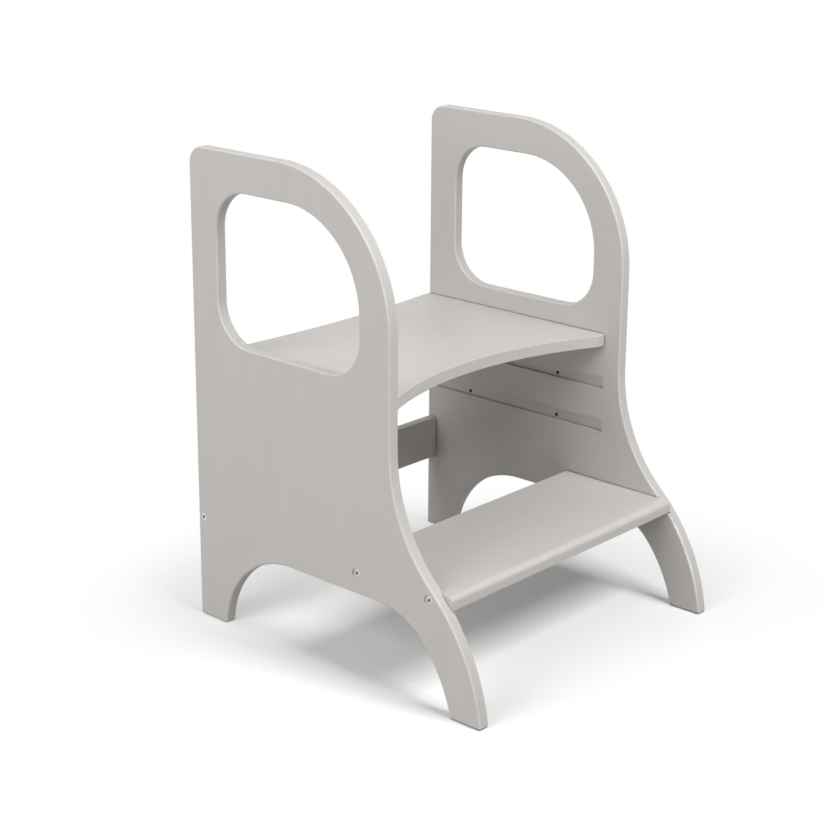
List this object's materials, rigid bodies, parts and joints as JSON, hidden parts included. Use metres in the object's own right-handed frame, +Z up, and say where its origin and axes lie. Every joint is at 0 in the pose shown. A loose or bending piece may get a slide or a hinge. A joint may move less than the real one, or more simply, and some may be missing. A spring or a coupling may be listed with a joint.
{
  "type": "toddler kitchen helper stool",
  "caption": "Painted wooden learning tower for a small child: shaped side panels with hand openings, a height-adjustable standing platform, a step and a back rail.",
  "frame": {"origin": "on the floor, under the centre of the stool's bounding box", "axes": "+Z up; the open front with the step faces -Y; +X to the right for someone who faces the front"},
  "size_m": [0.458, 0.4808, 0.62],
  "materials": {
    "painted_wood": "satin warm light grey paint",
    "zinc_screw": "bright zinc plate",
    "cam_zinc": "cast zinc, matte"
  },
  "bodies": {
    "stool": {"left_side_panel": "painted_wood", "right_side_panel": "painted_wood", "platform": "painted_wood", "step_tread": "painted_wood", "back_rail": "painted_wood", "step_screw_left_rear": "zinc_screw", "step_screw_left_front": "zinc_screw", "step_screw_right_rear": "zinc_screw", "step_screw_right_front": "zinc_screw", "rail_screw_left": "zinc_screw", "rail_screw_right": "zinc_screw", "connecting_bolt_left_rear": "zinc_screw", "connecting_bolt_left_front": "zinc_screw", "connecting_bolt_right_rear": "zinc_screw", "connecting_bolt_right_front": "zinc_screw"},
    "cam_left_rear_body": {"cam_left_rear": "cam_zinc"},
    "cam_left_front_body": {"cam_left_front": "cam_zinc"},
    "cam_right_rear_body": {"cam_right_rear": "cam_zinc"},
    "cam_right_front_body": {"cam_right_front": "cam_zinc"}
  },
  "joints": [
    {"name": "cam_left_rear_turn", "type": "hinge", "parent": "stool", "child": "cam_left_rear_body", "pos_m": [-0.193, 0.16338, 0.33945], "axis": [0, 0, -1], "range_deg": [0, 190]},
    {"name": "cam_left_front_turn", "type": "hinge", "parent": "stool", "child": "cam_left_front_body", "pos_m": [-0.193, 0.00838, 0.33945], "axis": [0, 0, -1], "range_deg": [0, 190]},
    {"name": "cam_right_rear_turn", "type": "hinge", "parent": "stool", "child": "cam_right_rear_body", "pos_m": [0.193, 0.16338, 0.33945], "axis": [0, 0, -1], "range_deg": [0, 190]},
    {"name": "cam_right_front_turn", "type": "hinge", "parent": "stool", "child": "cam_right_front_body", "pos_m": [0.193, 0.00838, 0.33945], "axis": [0, 0, -1], "range_deg": [0, 190]}
  ]
}
